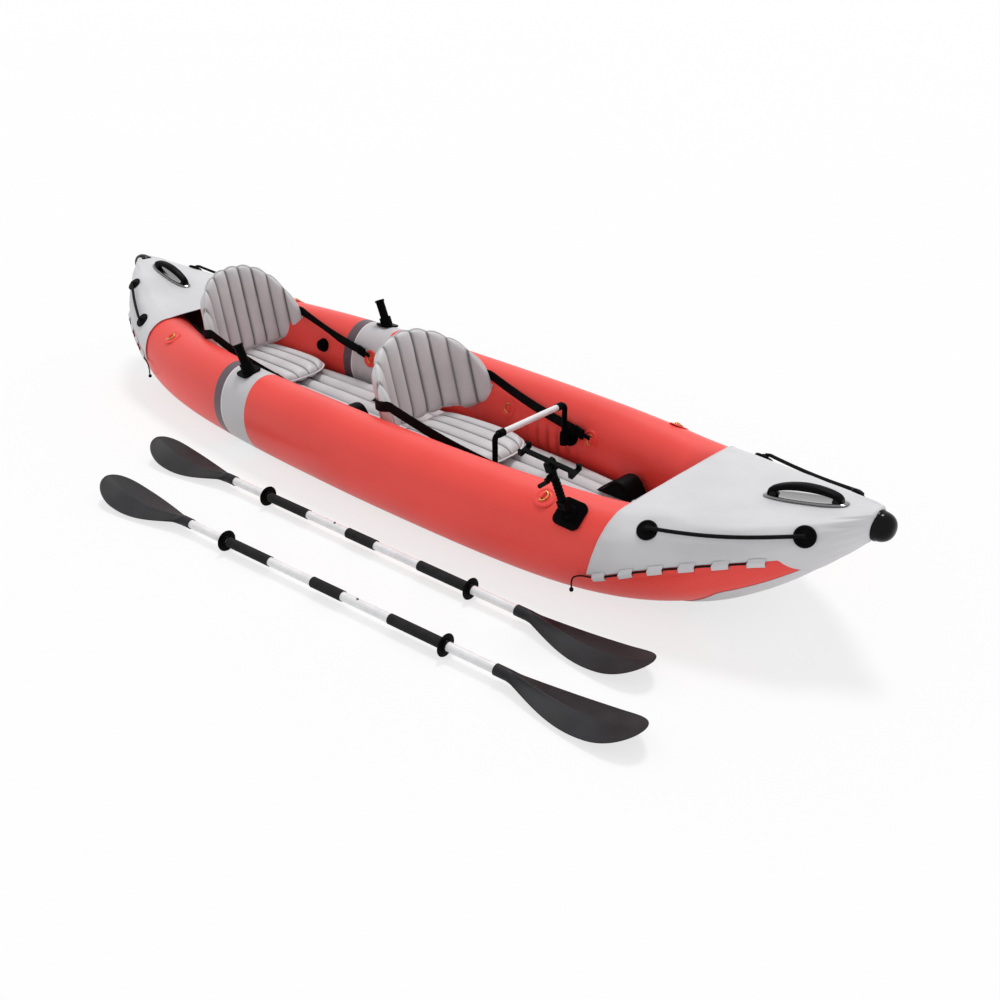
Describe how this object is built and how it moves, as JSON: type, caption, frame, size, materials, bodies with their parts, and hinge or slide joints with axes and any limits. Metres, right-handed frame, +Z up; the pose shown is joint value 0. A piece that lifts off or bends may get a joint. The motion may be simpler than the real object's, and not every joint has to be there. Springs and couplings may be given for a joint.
{
  "type": "tandem inflatable kayak",
  "caption": "Tandem inflatable kayak with laced bow and stern covers, reclining seats, rod holders, foot wedges and take-apart paddles.",
  "frame": {"origin": "on the ground under the middle of the hull", "axes": "+X to the bow, +Y to port, +Z up"},
  "size_m": [3.86, 1.5361, 0.5321],
  "materials": {
    "hull_skin": "satin coated cloth, red",
    "cover_cloth": "coated cloth, light grey",
    "floor_skin": "welded film, light grey",
    "seat_skin": "welded film, light grey",
    "webbing": "woven webbing, black",
    "cord": "braided cord, black",
    "brass": "plated",
    "alloy_tube": "satin",
    "blade": "moulded",
    "soft_black": "matte",
    "black_fitting": "moulded, satin"
  },
  "bodies": {
    "hull": {"starboard_tube": "hull_skin", "port_tube": "hull_skin", "floor_mat": "floor_skin", "bottom_skin": "hull_skin", "bow_cover": "cover_cloth", "stern_cover": "cover_cloth", "keel_patches": "cover_cloth", "nose_caps": "black_fitting", "carry_handles": "black_fitting", "grab_buttons": "black_fitting", "grab_lines": "cord", "hull_lace_tabs": "hull_skin", "cover_lace_tabs": "cover_cloth", "lace_cords": "cord", "rod_bases": "black_fitting", "rod_tubes": "black_fitting", "ring_patches": "hull_skin", "d_rings": "brass", "valve_bases": "black_fitting", "front_cushion": "seat_skin", "rear_cushion": "seat_skin", "strap_buckles": "black_fitting", "bracket_sockets": "black_fitting", "arm_base": "black_fitting"},
    "front_backrest": {"front_back": "seat_skin", "front_straps": "webbing"},
    "rear_backrest": {"rear_back": "seat_skin", "rear_straps": "webbing"},
    "front_footrest": {"front_footrests": "soft_black"},
    "rear_footrest": {"rear_footrests": "soft_black"},
    "bracket": {"bracket_legs": "black_fitting", "bracket_bar": "alloy_tube"},
    "arm_foot": {"arm_stem": "black_fitting"},
    "arm": {"arm_link": "black_fitting"},
    "lever": {"lock_lever": "black_fitting"},
    "cradle": {"rod_cradle": "black_fitting"},
    "port_cap": {"port_valve_cap": "black_fitting"},
    "starboard_cap": {"starboard_valve_cap": "black_fitting"},
    "near_half_a": {"near_shaft_a": "alloy_tube", "near_grip_a": "soft_black", "near_ring_a": "soft_black", "near_blade_a": "blade"},
    "near_half_b": {"near_shaft_b": "alloy_tube", "near_sleeve": "black_fitting", "near_grip_b": "soft_black", "near_ring_b": "soft_black", "near_blade_b": "blade"},
    "near_button": {"near_button": "brass"},
    "far_half_a": {"far_shaft_a": "alloy_tube", "far_grip_a": "soft_black", "far_ring_a": "soft_black", "far_blade_a": "blade"},
    "far_half_b": {"far_shaft_b": "alloy_tube", "far_sleeve": "black_fitting", "far_grip_b": "soft_black", "far_ring_b": "soft_black", "far_blade_b": "blade"},
    "far_button": {"far_button": "brass"}
  },
  "joints": [
    {"name": "front_recline", "type": "hinge", "parent": "hull", "child": "front_backrest", "pos_m": [0.008, 0, 0.1846], "axis": [0, 1, 0], "range_deg": [-10, 12], "deforming": ["front_straps"]},
    {"name": "rear_recline", "type": "hinge", "parent": "hull", "child": "rear_backrest", "pos_m": [-1.112, 0, 0.1846], "axis": [0, 1, 0], "range_deg": [-10, 6], "deforming": ["rear_straps"]},
    {"name": "front_footrest_slide", "type": "slide", "parent": "hull", "child": "front_footrest", "axis": [1, 0, 0], "range_m": [-0.1, 0.06]},
    {"name": "rear_footrest_slide", "type": "slide", "parent": "hull", "child": "rear_footrest", "axis": [1, 0, 0], "range_m": [-0.1, 0.06]},
    {"name": "bracket_lift", "type": "slide", "parent": "hull", "child": "bracket", "axis": [0, 0, 1], "range_m": [0, 0.12]},
    {"name": "arm_swivel", "type": "hinge", "parent": "hull", "child": "arm_foot", "pos_m": [1.08001, -0.36808, 0.29019], "axis": [0.0914, -0.6536, 0.7513], "range_deg": [-90, 90]},
    {"name": "arm_tilt", "type": "hinge", "parent": "arm_foot", "child": "arm", "pos_m": [1.08549, -0.4073, 0.33526], "axis": [0.9945, 0, 0.1045], "range_deg": [-30, 30]},
    {"name": "lever_turn", "type": "hinge", "parent": "arm", "child": "lever", "pos_m": [1.07313, -0.44459, 0.45288], "axis": [0.0314, -0.9537, -0.2991], "range_deg": [-90, 90]},
    {"name": "cradle_tilt", "type": "hinge", "parent": "arm", "child": "cradle", "pos_m": [1.06894, -0.45721, 0.49272], "axis": [-0.0314, 0.9537, 0.2991], "range_deg": [-35, 35]},
    {"name": "port_cap_turn", "type": "hinge", "parent": "hull", "child": "port_cap", "pos_m": [-0.81098, 0.19601, 0.21249], "axis": [0.102, -0.9631, 0.2491], "range_deg": [0, 90]},
    {"name": "starboard_cap_turn", "type": "hinge", "parent": "hull", "child": "starboard_cap", "pos_m": [-0.81098, -0.19601, 0.21249], "axis": [0.102, 0.9631, 0.2491], "range_deg": [0, 90]},
    {"name": "near_paddle_lift", "type": "slide", "parent": "hull", "child": "near_half_a", "axis": [0, 0, 1], "range_m": [0, 0.6]},
    {"name": "near_feather", "type": "hinge", "parent": "near_half_a", "child": "near_half_b", "pos_m": [0.538, -0.897, 0.0375], "axis": [-0.997, -0.0771, 0], "range_deg": [-60, 60]},
    {"name": "near_button_press", "type": "slide", "parent": "near_half_a", "child": "near_button", "axis": [0, 0, -1], "range_m": [0, 0.003], "stiffness_N_per_m": 200},
    {"name": "far_paddle_lift", "type": "slide", "parent": "hull", "child": "far_half_a", "axis": [0, 0, 1], "range_m": [0, 0.6]},
    {"name": "far_feather", "type": "hinge", "parent": "far_half_a", "child": "far_half_b", "pos_m": [0.38, -0.619, 0.0375], "axis": [0.9987, 0.0506, 0], "range_deg": [-60, 60]},
    {"name": "far_button_press", "type": "slide", "parent": "far_half_a", "child": "far_button", "axis": [0, 0, -1], "range_m": [0, 0.003], "stiffness_N_per_m": 200}
  ]
}
